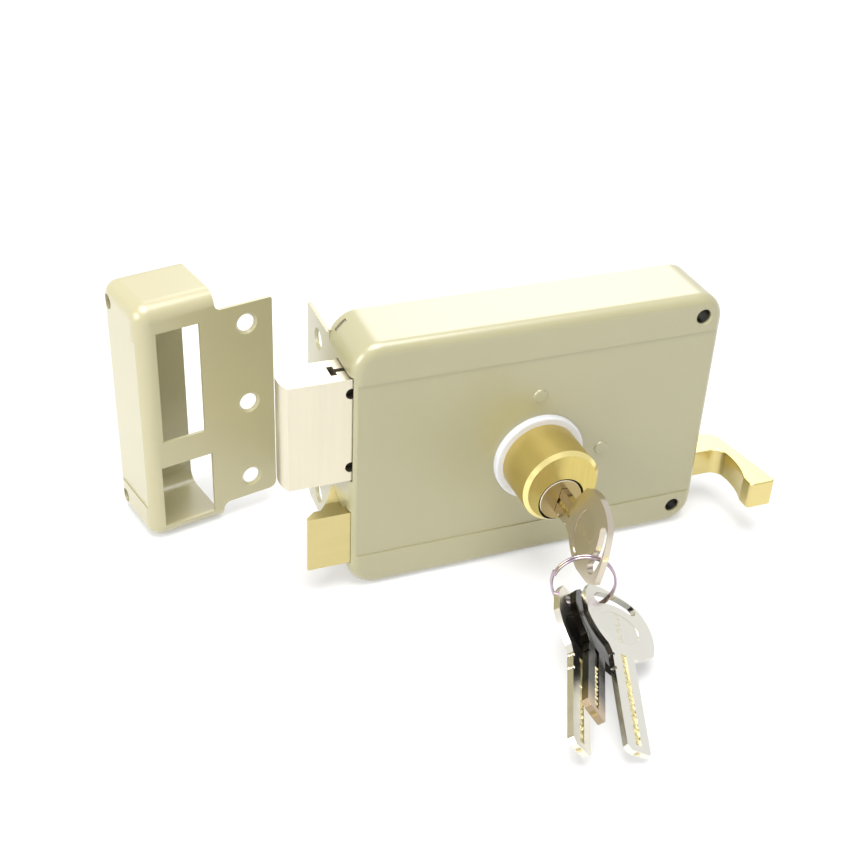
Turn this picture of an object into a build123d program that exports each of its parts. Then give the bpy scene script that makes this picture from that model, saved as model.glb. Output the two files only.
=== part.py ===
from build123d import *
from math import atan2, cos, degrees, pi, radians, sin, sqrt
import os

os.makedirs("parts", exist_ok=True)

# Rim box lock with its box keeper, key, split ring and spare keys, in millimetres.
# The lock stands on its lower edge. X runs along the case from the forend to the pull,
# Y runs from the room towards the door, and Z is up.
# The origin is the middle of the case's underside.

# Fits and clearances
slide_gap = 0.3
running_gap = 0.06
seat_gap = 0.02
overrun = 1.0

# Case
case_width = 140.0
case_height = 100.0
case_depth = 26.5
sheet = 1.2
corner_round = 10.5
front_round = 4.0
panel_recess = 0.4
panel_margin = 14.4
left_x = -case_width / 2
right_x = case_width / 2
front_y = -case_depth / 2
rear_y = case_depth / 2
inner_front_y = front_y + sheet + panel_recess

# Forend flange and its screw holes
flange_reach = 24.5
flange_inset = 8.25
flange_high = case_height - 2 * flange_inset
flange_root = 2.2
flange_fillet = 1.8
flange_corner_top = 0.8
flange_corner_low = 3.0
flange_hole = 6.6
flange_hole_sink = 8.4
flange_hole_inset = 11.8
flange_hole_end = 8.45
flange_hole_pitch = flange_high / 2 - flange_hole_end
flange_hole_angle = 90
flange_hole_mid = case_height / 2

# Through holes for the screws of the right-hand corners
corner_hole = 5.6
corner_hole_inset = 8.4
corner_hole_break = 0.5
tube_wall = 1.2

# Dead bolt
bolt_throw = 21.2
bolt_reach = 23.3
bolt_crown = 1.9
bolt_window_gap = 0.6
bolt_inside = 15.0
bolt_thick = 14.0
bolt_low = 47.2
bolt_top_inset = 12.1
bolt_top = case_height - bolt_top_inset
bolt_height = bolt_top - bolt_low
bolt_setback = 2.0
bolt_nose_round = 1.2
bolt_edge_break = 0.5
bolt_front_y = front_y + bolt_setback
bolt_mid_y = bolt_front_y + bolt_thick / 2

# Bolt plate, which carries the bolt and the rack
plate_thick = 2.0
plate_tee_wide = 5.8
plate_tee_deep = 2.2
plate_tee_reach = 5.4
plate_low = 30.6
plate_top_inset = 14.0
plate_high = case_height - plate_top_inset
plate_tee_drop = 6.0
plate_step = 21.0
plate_reach = 103.0
plate_step_x = left_x + plate_step
plate_end_x = left_x + plate_reach
plate_corner = 3.0
bolt_plate_lift = 1.5
bolt_pin = 4.0
bolt_pin_sink = 2.6
bolt_pin_inside = 0.5
bolt_pin_x = left_x + bolt_pin_inside
bolt_pin_inset = 5.6

# Pinion and rack: one turn of the key throws the bolt
tooth_module = 0.7
pinion_teeth = 10
tooth_addendum = 0.42
tooth_dedendum = 0.62
tooth_thick_share = 0.36
tooth_tip_share = 0.15
tooth_sink = 0.2
rack_teeth = 12
pitch_radius = tooth_module * pinion_teeth / 2
tooth_pitch = pi * tooth_module

# Guide posts, whose riveted ends show on the front
post_radius = 2.5
post_bore = 1.2
rivet_radius = 2.6
rivet_rise = 0.5
rivet_shank = 1.6
rivet_taper = 35

# Back plate, inset from the rear edge and hung in slots in the left-hand corners
back_thick = 1.2
back_inset = 4.1
back_gap = 0.4
back_corner_slot = 1.5
back_tab_share = 0.5
back_tab_wide = 4.6
back_y = rear_y - back_inset
screw_head = 5.6
screw_head_deep = 1.1
screw_core = 1.1
screw_length = 7.0
screw_slot = 0.8

# Latch bolt
latch_reach = 14.9
latch_inside = 12.0
latch_thick = 18.3
latch_low = 11.2
latch_high = 33.3
latch_groove_z = 30.2
latch_rear_z = 32.6
latch_rib = 4.3
latch_groove_wide = 7.2
latch_groove_lean = 0.5
latch_nose = 1.3
latch_heel = 0.6
latch_hollow = 0.7

# Latch slide bar
bar_thick = 3.0
bar_low = 14.6
bar_high = 24.4
bar_setback = 12.5
bar_start = 2.5
bar_end_inset = 9.0
bar_front_y = front_y + bar_setback
bar_left_x = left_x + bar_start
bar_right_x = right_x - bar_end_inset
bar_pin = 3.0

# Finger pull
pull_low = 14.0
pull_high = 25.0
pull_setback = 8.4
pull_thick = 11.4
pull_inside = 20.5
pull_front_y = front_y + pull_setback
pull_rear_y = pull_front_y + pull_thick
pull_inner_x = right_x - pull_inside
pull_reach = 24.4
pull_drop = 17.0
pull_tip_wide = 11.0
pull_heel = 18.1
pull_heel_round = 6.0
pull_lip = 5.5
pull_hollow = 2.3
pull_neck = 14.6
pull_crook_round = 5.0
pull_edge_break = 0.6
pull_tip_round = 1.5

# Latch spring on its guide rod
spring_wire = 0.9
spring_outer = 7.0
spring_turns = 8
spring_setback = 16.9
spring_y = front_y + spring_setback
spring_z = 28.6
spring_length = 33.0
rod_radius = 1.5
anchor_thick = 2.0
anchor_foot = 8.0

# Brake spring over the bolt plate
brake_thick = 0.6
brake_wide = 5.0
brake_span = 44.0
brake_clear = 17.6
brake_end_x = right_x - corner_hole_inset - corner_hole / 2 - tube_wall - brake_clear
brake_mid_x = brake_end_x - brake_span / 2

# Cylinder, collar and retainer
cyl_radius = 14.5
cyl_proud = 20.5
cyl_inside = 6.5
cyl_bevel = 1.4
cyl_backset = 70.8
cyl_x = left_x + cyl_backset
cyl_z = 44.3
collar_radius = 17.2
collar_proud = 2.0
collar_round = 0.8
groove_deep = 1.5
retainer_thick = 1.5
retainer_side = 4.5
retainer_foot = 5.0

# The posts stand over and beside the cylinder
post_a_back = 1.3
post_a_rise = 25.6
post_b_ahead = 25.5
post_b_drop = 1.6
post_a = (cyl_x - post_a_back, cyl_z + post_a_rise)
post_b = (cyl_x + post_b_ahead, cyl_z - post_b_drop)

# Plug and its clip
plug_radius = 7.6
plug_head = 8.2
plug_head_deep = 1.6
plug_head_gap = 0.25
plug_edge_break = 0.35
plug_drop = 5.2
plug_tail_gap = 0.3
clip_thick = 0.7
clip_deep = 0.9
clip_rise = 1.1
clip_mouth = 9.0
tang_wide = 1.8
tang_high = 4.4
tang_deep = 1.5
journal_radius = 2.7
tail_slot_wide = 1.6
tail_slot_deep = 3.5
tail_rise = 0.5
plug_x = cyl_x
plug_z = cyl_z - plug_drop
cyl_front_y = front_y - cyl_proud
cyl_rear_y = front_y + cyl_inside
plate_front_y = bolt_mid_y - plate_thick / 2
plate_rear_y = bolt_mid_y + plate_thick / 2
plug_rear_y = plate_front_y - plug_tail_gap

# Pin stacks
pin_count = 5
pin_radius = 1.4
pin_gap = 0.1
pin_first = 4.5
pin_pitch = 3.9
driver_length = 3.8
cap_length = 2.5
pin_tip = 0.85
pin_tip_long = 1.7
pin_spring_bore = 0.9

# Key: measured out from the cylinder's end face
key_turned = 13.0
key_thick = 2.4
blade_half = 4.75
blade_in = 27.0
blade_point = 1.6
neck_out = 9.5
key_shoulder = 1.95
bow_length = 25.5
bow_half = 13.9
key_slot_out = 30.2
key_slot_wide = 4.4
key_slot_long = 14.0
key_slot_bow = 1.2
key_cut_radius = 0.95
key_oval_long = 18.0
key_oval_wide = 12.0
key_oval_deep = 0.25
key_oval_out = 20.3
key_groove_wide = 2.2
key_groove_deep = 0.5
key_groove_inset = 2.5
key_stop_wide = 1.0
key_stop_deep = 0.8
key_stop_out = 3.0
# How deep each pin's cut lies, as shares of the deepest
key_cut_deepest = 1.5
key_cut_shares = (0.4, 1.0, 0.6, 0.8, 0.3)
# Shares of the bow's length and of its half width, from the neck
shoulder_shares = (0.15, 1.0)
crown_shares = (0.52, 1.1)
crown_end_shares = (0.87, 0.70)
end_mid_shares = (0.975, 0.08)
end_shares = (1.0, -0.76)
corner_shares = (0.84, -0.92)
side_shares = (0.52, -0.92)
heel_shares = (0.345, -0.78)
waist_shares = (0.11, -0.42)

# Split ring
ring_radius = 10.8
ring_wire = 0.9
ring_pitch = 1.35
ring_turns = 2
ring_aside = -4.78
ring_ahead = 30.35
ring_below = 12.32
ring_turned = -20.4
ring_lean = 4.52
ring_start = -20.0

# Box keeper
keeper_depth = 29.5
keeper_width = 30.7
keeper_shorter = 2.0
keeper_height = case_height - keeper_shorter
keeper_round = 6.0
keeper_edge = 5.5
keeper_flange = 22.5
keeper_flange_rise = 0.2
keeper_flange_mid = keeper_height / 2 + keeper_flange_rise
keeper_flange_inset = 7.7
keeper_flange_high = 2 * (keeper_flange_mid - keeper_flange_inset)
keeper_flange_root_top = 2.4
keeper_flange_root_low = 3.0
keeper_hole_end = 8.2
keeper_hole_pitch = keeper_flange_high / 2 - keeper_hole_end
keeper_hole_inset = 12.2
upper_mouth_from = 6.9
upper_mouth_wide = 16.6
upper_mouth_low = 42.6
upper_mouth_inset = 10.4
upper_mouth_high = keeper_height - upper_mouth_inset
lower_mouth_from = 5.5
lower_mouth_wide = 20.3
lower_mouth_low = 5.6
lower_mouth_high = 32.0
keeper_mouths = (
    (upper_mouth_from, upper_mouth_wide, upper_mouth_low, upper_mouth_high),
    (lower_mouth_from, lower_mouth_wide, lower_mouth_low, lower_mouth_high),
)
keeper_screw_from = 24.4
keeper_screw_inset = 7.0
keeper_margin = 13.5
keeper_turned = 12.8
keeper_aside = 61.3
keeper_behind = 48.4
keeper_corner = (left_x - keeper_aside, front_y + keeper_behind)

# Spare keys: where each lies from the ring's centre, its heading, its rise towards the bow and its roll
spare_right_place = (0.89, -32.64, -15.73)
spare_right_angles = (72.32, 12.53, -31.7)
spare_middle_place = (-10.17, -30.23, -8.44)
spare_middle_angles = (61.99, -11.47, -50.51)
spare_left_place = (-14.06, -28.65, -15.75)
spare_left_angles = (64.95, 5.62, -50.37)


def write(piece, label):
    """Label a finished piece and write it out"""
    piece.part.label = label
    export_step(piece.part, f"parts/{label}.step")


def face_at(y):
    """Plane across the lock at a depth, facing the room"""
    return Plane.XZ.offset(-y)


def drawn_shell(width, height, depth, corner, edge, recess, margin):
    """A pressed tray's rounded form: X across, Z up, open side at the back, front at Y = 0"""
    with BuildPart() as form:
        with BuildSketch(face_at(depth)):
            with Locations((0, height / 2)):
                RectangleRounded(width, height, corner)
        extrude(amount=depth)
        front = form.faces().sort_by(Axis.Y)[0]
        fillet(front.edges(), edge)
        with BuildSketch(face_at(recess)):
            with Locations((0, height / 2)):
                Rectangle(width, height - 2 * margin)
        extrude(amount=recess + overrun, mode=Mode.SUBTRACT)
    return form.part


def drawn_hollow(width, height, depth, corner, edge, recess, margin):
    """The tray's inside, one sheet smaller all round and open at the back"""
    inner = drawn_shell(
        width - 2 * sheet, height - 2 * sheet, depth, corner - sheet, edge - sheet, recess, margin - sheet
    )
    return inner.moved(Location((0, sheet, sheet)))


def coil(radius, pitch, turns, wire):
    """Round wire wound about Z in even turns, each quarter turn a pair of tangent arcs"""
    quarters = 4 * turns

    def on_coil(step):
        angle = pi / 2 * step
        return Vector(radius * cos(angle), radius * sin(angle), pitch * (step / 4 - turns / 2))

    def heading(step):
        angle = pi / 2 * step
        return Vector(-radius * sin(angle), radius * cos(angle), pitch / (2 * pi)).normalized()

    with BuildPart() as winding:
        with BuildLine() as path:
            for step in range(quarters):
                start, end = on_coil(step), on_coil(step + 1)
                leave, arrive = heading(step), heading(step + 1)
                chord, spread = end - start, 2 * (1 - leave.dot(arrive))
                lean = chord.dot(leave + arrive)
                reach = (sqrt(lean**2 + spread * chord.dot(chord)) - lean) / spread
                middle = (start + end + (leave - arrive) * reach) * 0.5
                join = (end - arrive * reach) - (start + leave * reach)
                TangentArc(start, middle, tangent=leave)
                TangentArc(middle, end, tangent=join)
        with BuildSketch(Plane(origin=path.line @ 0, z_dir=path.line % 0)):
            Circle(wire / 2)
        sweep()
    print(f"coil of {turns} turns: gap to itself {pitch - wire:.2f} mm")
    return winding.part


# Case shell, drawn from one sheet with the forend and its flange
corner_places = [(right_x - corner_hole_inset, z) for z in (corner_hole_inset, case_height - corner_hole_inset)]
lower_corner_angle, upper_corner_angle = 225, 135
left_corners = [
    (left_x + corner_round, corner_round, lower_corner_angle),
    (left_x + corner_round, case_height - corner_round, upper_corner_angle),
]
case_sizes = (case_width, case_height, case_depth, corner_round, front_round, panel_recess, panel_margin)
case_outer = drawn_shell(*case_sizes).moved(Location((0, front_y, 0)))
case_inner = drawn_hollow(*case_sizes).moved(Location((0, front_y, 0)))
pull_mid_y = (pull_front_y + pull_rear_y) / 2
pull_mid_z = (pull_low + pull_high) / 2


def latch_section(x, gap):
    """Section of the latch bolt across its travel, grown by a gap"""
    rib_y = bolt_front_y + latch_rib
    groove_y = rib_y + latch_groove_wide
    rear_edge_y = bolt_front_y + latch_thick
    with BuildSketch(Plane.YZ.offset(x)) as section:
        with BuildLine():
            Polyline(
                (bolt_front_y - gap, latch_low - gap),
                (rear_edge_y + gap, latch_low - gap),
                (rear_edge_y + gap, latch_rear_z + gap),
                (groove_y, latch_groove_z + gap),
                (rib_y + latch_groove_lean + gap, latch_groove_z + gap),
                (rib_y + gap, latch_high + gap),
                (bolt_front_y - gap, latch_high + gap),
                close=True,
            )
        make_face()
    return section.sketch


with BuildPart() as case_shell:
    add(case_outer)
    add(case_inner, mode=Mode.SUBTRACT)
    with BuildSketch(Plane.YZ.offset(left_x)) as flange:
        with Locations((rear_y + (flange_reach - sheet) / 2, flange_hole_mid)):
            Rectangle(flange_reach + sheet, flange_high)
        with Locations((rear_y - sheet / 2, flange_hole_mid)):
            Rectangle(sheet, flange_high + 2 * flange_root)
        for side in (-1, 1):
            root = (rear_y, flange_hole_mid + side * flange_high / 2)
            fillet(flange.vertices().sort_by_distance(root)[0], flange_fillet)
        fillet(flange.vertices().group_by(Axis.X)[-1].sort_by(Axis.Y)[-1], flange_corner_top)
        fillet(flange.vertices().group_by(Axis.X)[-1].sort_by(Axis.Y)[0], flange_corner_low)
    extrude(amount=sheet)
    with BuildSketch(Plane.YZ.offset(left_x - overrun)):
        with Locations((bolt_mid_y, bolt_low + bolt_height / 2)):
            Rectangle(bolt_thick + 2 * bolt_window_gap, bolt_height + 2 * bolt_window_gap)
    extrude(amount=front_round + overrun, mode=Mode.SUBTRACT)
    extrude(latch_section(left_x - overrun, slide_gap), amount=front_round + overrun, mode=Mode.SUBTRACT)
    with BuildSketch(Plane.YZ.offset(right_x - front_round)):
        with Locations((pull_mid_y, pull_mid_z)):
            Rectangle(pull_rear_y - pull_front_y + 2 * slide_gap, pull_high - pull_low + 2 * slide_gap)
    extrude(amount=front_round + overrun, mode=Mode.SUBTRACT)
    with BuildSketch(face_at(front_y + front_round)):
        with Locations((cyl_x, cyl_z)):
            Circle(cyl_radius + running_gap)
        with Locations(*corner_places):
            Circle(corner_hole / 2)
        with Locations(post_a, post_b):
            Circle(rivet_shank + seat_gap)
    extrude(amount=front_round + overrun, mode=Mode.SUBTRACT)
    front_rims = case_shell.edges().filter_by(GeomType.CIRCLE).filter_by_position(
        Axis.Y, front_y - seat_gap, front_y + seat_gap
    )
    chamfer(front_rims.filter_by(lambda rim: abs(rim.radius - corner_hole / 2) < seat_gap), corner_hole_break)
    with BuildSketch(face_at(back_y + back_corner_slot)):
        for x, z, side in left_corners:
            with Locations((x, z)):
                with PolarLocations(corner_round, 1, side):
                    Rectangle(2 * sheet + overrun, back_tab_wide + 2 * slide_gap)
    extrude(amount=back_corner_slot + slide_gap, mode=Mode.SUBTRACT)
    hole_places = [flange_hole_mid + step * flange_hole_pitch for step in (-1, 0, 1)]
    with Locations(*[Plane((left_x, rear_y + flange_hole_inset, z), z_dir=(-1, 0, 0)) for z in hole_places]):
        CounterSinkHole(flange_hole / 2, flange_hole_sink / 2, sheet + overrun, flange_hole_angle)
write(case_shell, "case_shell")

# Back plate, hung by its two tabs in the corner slots
with BuildPart() as back_plate:
    with BuildSketch(face_at(back_y + back_thick)):
        with Locations((0, case_height / 2)):
            RectangleRounded(
                case_width - 2 * (sheet + back_gap),
                case_height - 2 * (sheet + back_gap),
                corner_round - sheet - back_gap,
            )
        for x, z, side in left_corners:
            with Locations((x, z)):
                with PolarLocations(corner_round - sheet * back_tab_share - back_gap - sheet, 1, side):
                    Rectangle(2 * (sheet + back_gap), back_tab_wide)
        with Locations((plug_x, plug_z)):
            Circle(journal_radius + running_gap, mode=Mode.SUBTRACT)
        with Locations(*corner_places):
            Circle(corner_hole / 2, mode=Mode.SUBTRACT)
        with Locations(post_a, post_b):
            Circle(post_bore, mode=Mode.SUBTRACT)
    extrude(amount=back_thick)
write(back_plate, "back_plate")

# Screws that hold the back plate to the guide posts
with BuildPart() as back_plate_screws:
    head_y = back_y + back_thick
    with BuildSketch(face_at(head_y + screw_head_deep)):
        with Locations(post_a, post_b):
            Circle(screw_head / 2)
            Rectangle(screw_head, screw_slot, mode=Mode.SUBTRACT)
    extrude(amount=screw_head_deep)
    with BuildSketch(face_at(head_y + screw_head_deep / 2)):
        with Locations(post_a, post_b):
            Circle(screw_core)
    extrude(amount=screw_length + screw_head_deep / 2)
write(back_plate_screws, "back_plate_screws")

# Guide posts that the bolt plate slides on, riveted through the case's front
with BuildPart() as guide_posts:
    with BuildSketch(face_at(back_y)):
        with Locations(post_a, post_b):
            Circle(post_radius)
    extrude(amount=back_y - inner_front_y)
    with BuildSketch(face_at(inner_front_y)):
        with Locations(post_a, post_b):
            Circle(rivet_shank)
    extrude(amount=sheet)
    with BuildSketch(face_at(front_y + panel_recess)):
        with Locations(post_a, post_b):
            Circle(rivet_radius)
    extrude(amount=rivet_rise, taper=rivet_taper)
    with BuildSketch(face_at(back_y)):
        with Locations(post_a, post_b):
            Circle(post_bore)
    extrude(amount=screw_length, mode=Mode.SUBTRACT)
write(guide_posts, "guide_posts")

# Tubes round the two corner screws, between the case's front and the back plate
with BuildPart() as fixing_sleeves:
    with BuildSketch(face_at(back_y)):
        with Locations(*corner_places):
            Circle(corner_hole / 2 + tube_wall)
            Circle(corner_hole / 2, mode=Mode.SUBTRACT)
    extrude(amount=back_y - front_y - sheet - running_gap)
write(fixing_sleeves, "fixing_sleeves")

# Dead bolt head, with the T slot that its plate hooks into
bolt_left_x = left_x - bolt_reach
bolt_rear_y = bolt_front_y + bolt_thick
bolt_pin_places = [(bolt_pin_x, z) for z in (bolt_low + bolt_pin_inset, bolt_top - bolt_pin_inset)]
tee_left_x = left_x - plate_tee_reach
tee_right_x = tee_left_x + plate_tee_deep
with BuildPart() as deadbolt_head:
    with BuildSketch(Plane.XY.offset(bolt_low)) as bolt_plan:
        with BuildLine():
            Polyline(
                (bolt_left_x + bolt_crown, bolt_front_y),
                (left_x + bolt_inside, bolt_front_y),
                (left_x + bolt_inside, bolt_rear_y),
                (bolt_left_x + bolt_crown, bolt_rear_y),
            )
            ThreePointArc(
                (bolt_left_x + bolt_crown, bolt_rear_y),
                (bolt_left_x, bolt_mid_y),
                (bolt_left_x + bolt_crown, bolt_front_y),
            )
        make_face()
        nose = bolt_plan.vertices().group_by(Axis.X)[0].sort_by(Axis.Y)
        fillet(nose[-1], bolt_nose_round)
        with Locations((tee_left_x, bolt_mid_y)):
            Rectangle(plate_tee_deep, plate_tee_wide, align=(Align.MIN, Align.CENTER), mode=Mode.SUBTRACT)
        with Locations((tee_left_x + plate_tee_deep / 2, bolt_mid_y)):
            Rectangle(
                bolt_reach + bolt_inside,
                plate_thick + 2 * seat_gap,
                align=(Align.MIN, Align.CENTER),
                mode=Mode.SUBTRACT,
            )
    extrude(amount=bolt_height)
    with BuildSketch(face_at(bolt_rear_y + overrun)):
        with Locations(*bolt_pin_places):
            Circle(bolt_pin / 2 + seat_gap)
    extrude(amount=bolt_thick + 2 * overrun, mode=Mode.SUBTRACT)
write(deadbolt_head, "deadbolt_head")

with BuildPart() as bolt_pins:
    with BuildSketch(face_at(bolt_rear_y - bolt_pin_sink)):
        with Locations(*bolt_pin_places):
            Circle(bolt_pin / 2)
    extrude(amount=bolt_thick - 2 * bolt_pin_sink)
write(bolt_pins, "bolt_pins")

# Bolt plate: hooked into the bolt, slotted for the guide posts, with the rack over the pinion
rack_root_z = plug_z + pitch_radius + tooth_dedendum
rack_first_x = plug_x + tooth_pitch / 2
window_low = plug_z - pitch_radius - tooth_addendum - slide_gap
window_left_x = rack_first_x - rack_teeth * tooth_pitch
window_right_x = plug_x + pitch_radius + tooth_addendum + slide_gap
tooth_half = tooth_pitch * tooth_thick_share / 2
tooth_tip_half = tooth_pitch * tooth_tip_share / 2
flank = (tooth_half - tooth_tip_half) / tooth_addendum
tooth_root_half = tooth_half + flank * tooth_dedendum
post_slot = 2 * (post_radius + slide_gap)
with BuildPart() as bolt_plate:
    with BuildSketch(face_at(plate_rear_y)) as plate_face:
        with Locations((tee_right_x - plate_tee_deep / 2, bolt_low + bolt_plate_lift)):
            Rectangle(
                plate_step_x - tee_right_x + plate_tee_deep,
                plate_high - bolt_low - bolt_plate_lift,
                align=(Align.MIN, Align.MIN),
            )
        with Locations((plate_step_x, plate_low)):
            Rectangle(plate_end_x - plate_step_x, plate_high - plate_low, align=(Align.MIN, Align.MIN))
        fillet(plate_face.vertices().group_by(Axis.X)[-1], plate_corner)
        with Locations((window_left_x, window_low)):
            Rectangle(
                window_right_x - window_left_x,
                rack_root_z - window_low,
                align=(Align.MIN, Align.MIN),
                mode=Mode.SUBTRACT,
            )
        with Locations(*[(x - bolt_throw / 2, z) for x, z in (post_a, post_b)]):
            SlotCenterToCenter(bolt_throw, post_slot, mode=Mode.SUBTRACT)
        for tooth in range(rack_teeth):
            with BuildLine():
                middle = rack_first_x - tooth * tooth_pitch
                Polyline(
                    (middle - tooth_root_half, rack_root_z + seat_gap),
                    (middle - tooth_tip_half, rack_root_z - tooth_dedendum - tooth_addendum),
                    (middle + tooth_tip_half, rack_root_z - tooth_dedendum - tooth_addendum),
                    (middle + tooth_root_half, rack_root_z + seat_gap),
                    close=True,
                )
            make_face()
    extrude(amount=plate_thick)
    with BuildSketch(Plane.XY.offset(plate_high - plate_tee_drop)):
        with Locations((tee_left_x + seat_gap, bolt_mid_y)):
            Rectangle(
                plate_tee_deep - 2 * seat_gap,
                plate_tee_wide - 2 * seat_gap,
                align=(Align.MIN, Align.CENTER),
            )
    extrude(amount=-(plate_high - plate_tee_drop - bolt_low - bolt_plate_lift))
    with BuildSketch(face_at(plate_rear_y + overrun)):
        with Locations(*bolt_pin_places):
            Circle(bolt_pin / 2 + seat_gap)
    extrude(amount=plate_thick + 2 * overrun, mode=Mode.SUBTRACT)
write(bolt_plate, "bolt_plate")

# Bowed leaf that brakes the bolt plate from above
leaf_top = case_height - sheet - slide_gap - brake_thick
leaf_low = plate_high + slide_gap + brake_thick / 2
with BuildPart() as brake_spring:
    with BuildSketch(face_at(bolt_mid_y + brake_wide / 2)):
        with BuildLine() as leaf:
            ThreePointArc(
                (brake_mid_x - brake_span / 2, leaf_top),
                (brake_mid_x, leaf_low),
                (brake_mid_x + brake_span / 2, leaf_top),
            )
        trace(leaf.line, brake_thick)
    extrude(amount=brake_wide)
write(brake_spring, "brake_spring")

# Latch bolt head, bevelled towards the frame
latch_left_x = left_x - latch_reach
latch_inner_x = left_x + latch_inside
latch_rear_y = bolt_front_y + latch_thick
bar_rear_y = bar_front_y + bar_thick
bar_mid_y = bar_front_y + bar_thick / 2
bar_mid_z = (bar_low + bar_high) / 2
bevel_mid = (
    (latch_left_x + left_x - latch_heel) / 2 + latch_hollow,
    (bolt_front_y + latch_nose + latch_rear_y) / 2 - latch_hollow,
)
latch_pin_x = (bar_left_x + latch_inner_x) / 2
latch_pin_places = [(latch_pin_x, bar_mid_z + side * bar_pin) for side in (-1, 1)]
with BuildPart() as latch_head:
    extrude(latch_section(latch_left_x, 0), amount=latch_reach + latch_inside)
    with BuildSketch(Plane.XY.offset(latch_low - overrun)):
        with BuildLine():
            ThreePointArc(
                (latch_left_x, bolt_front_y + latch_nose), bevel_mid, (left_x - latch_heel, latch_rear_y)
            )
            Polyline(
                (left_x - latch_heel, latch_rear_y),
                (left_x - latch_heel, latch_rear_y + overrun),
                (latch_left_x - overrun, latch_rear_y + overrun),
                (latch_left_x - overrun, bolt_front_y + latch_nose),
                (latch_left_x, bolt_front_y + latch_nose),
            )
        make_face()
    extrude(amount=latch_high - latch_low + 2 * overrun, mode=Mode.SUBTRACT)
    with BuildSketch(Plane.YZ.offset(bar_left_x - seat_gap)):
        with Locations((bar_mid_y, bar_mid_z)):
            Rectangle(bar_thick + 2 * seat_gap, bar_high - bar_low + 2 * seat_gap)
        with Locations((spring_y, spring_z)):
            Circle(rod_radius + seat_gap)
    extrude(amount=latch_inner_x - bar_left_x + overrun, mode=Mode.SUBTRACT)
    with BuildSketch(face_at(latch_rear_y + overrun)):
        with Locations(*latch_pin_places):
            Circle(bar_pin / 2 + seat_gap)
    extrude(amount=latch_thick - bar_pin + overrun, mode=Mode.SUBTRACT)
write(latch_head, "latch_head")

with BuildPart() as latch_pins:
    with BuildSketch(face_at(latch_rear_y - bolt_edge_break)):
        with Locations(*latch_pin_places):
            Circle(bar_pin / 2)
    extrude(amount=latch_thick - bar_pin - bolt_edge_break)
write(latch_pins, "latch_pins")

# Bar that ties the latch bolt to the finger pull
pull_pin_x = (pull_inner_x + bar_right_x) / 2
pull_pin_places = [(pull_pin_x, bar_mid_z + side * bar_pin) for side in (-1, 1)]
with BuildPart() as latch_slide:
    with BuildSketch(face_at(bar_rear_y)):
        with Locations(((bar_left_x + bar_right_x) / 2, bar_mid_z)):
            Rectangle(bar_right_x - bar_left_x, bar_high - bar_low)
        with Locations(*latch_pin_places, *pull_pin_places):
            Circle(bar_pin / 2 + seat_gap, mode=Mode.SUBTRACT)
    extrude(amount=bar_thick)
write(latch_slide, "latch_slide")

# Finger pull, hooked round to the front of the case
heel_x = right_x + pull_heel
tip_x = right_x + pull_reach
lip_x = tip_x - pull_tip_wide
tip_y = front_y - pull_drop
with BuildPart() as finger_pull:
    with BuildSketch(Plane.XY.offset(pull_low)) as pull_plan:
        with BuildLine():
            Polyline(
                (pull_inner_x, pull_front_y),
                (pull_inner_x, pull_rear_y),
                (heel_x, pull_rear_y),
                (tip_x, tip_y),
                (lip_x, tip_y),
                (lip_x, tip_y + pull_lip),
            )
            ThreePointArc(
                (lip_x, tip_y + pull_lip),
                (lip_x + pull_hollow, (tip_y + pull_lip + pull_front_y) / 2),
                (right_x + pull_neck, pull_front_y),
            )
            Line((right_x + pull_neck, pull_front_y), (pull_inner_x, pull_front_y))
        make_face()
        heel = pull_plan.vertices().sort_by_distance((heel_x, pull_rear_y))[0]
        fillet(heel, pull_heel_round)
        crook = pull_plan.vertices().sort_by_distance((right_x + pull_neck, pull_front_y))[0]
        fillet(crook, pull_crook_round)
        tips = pull_plan.vertices().group_by(Axis.Y)[0]
        fillet(tips, pull_tip_round)
    extrude(amount=pull_high - pull_low)
    caps = finger_pull.faces().filter_by(Axis.Z)
    fillet(caps.edges(), pull_edge_break)
    with BuildSketch(Plane.YZ.offset(bar_right_x + seat_gap)):
        with Locations((bar_mid_y, bar_mid_z)):
            Rectangle(bar_thick + 2 * seat_gap, bar_high - bar_low + 2 * seat_gap)
    extrude(amount=-(bar_right_x - pull_inner_x + overrun), mode=Mode.SUBTRACT)
    with BuildSketch(face_at(pull_rear_y + overrun)):
        with Locations(*pull_pin_places):
            Circle(bar_pin / 2 + seat_gap)
    extrude(amount=pull_rear_y - pull_front_y + 2 * overrun, mode=Mode.SUBTRACT)
write(finger_pull, "finger_pull")

with BuildPart() as pull_pins:
    with BuildSketch(face_at(pull_rear_y - pull_edge_break)):
        with Locations(*pull_pin_places):
            Circle(bar_pin / 2)
    extrude(amount=pull_rear_y - pull_front_y - 2 * pull_edge_break)
write(pull_pins, "pull_pins")

# Latch spring on its rod, held by a bracket on the back plate
spring_end_x = latch_inner_x + spring_length
with BuildPart() as spring_rod:
    with BuildSketch(Plane.YZ.offset(bar_left_x)):
        with Locations((spring_y, spring_z)):
            Circle(rod_radius)
    extrude(amount=spring_end_x + anchor_thick + rod_radius - bar_left_x)
write(spring_rod, "spring_rod")

anchor_width = spring_outer
with BuildPart() as spring_anchor:
    with BuildSketch(Plane.YZ.offset(spring_end_x + slide_gap)):
        with Locations((back_y, spring_z)):
            Rectangle(back_y - spring_y + spring_outer / 2, anchor_width, align=(Align.MAX, Align.CENTER))
        with Locations((spring_y, spring_z)):
            Circle(rod_radius + slide_gap, mode=Mode.SUBTRACT)
    extrude(amount=anchor_thick)
    with BuildSketch(face_at(back_y)):
        with Locations((spring_end_x + slide_gap, spring_z)):
            Rectangle(anchor_foot, anchor_width, align=(Align.MIN, Align.CENTER))
    extrude(amount=anchor_thick / 2)
write(spring_anchor, "spring_anchor")

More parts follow.
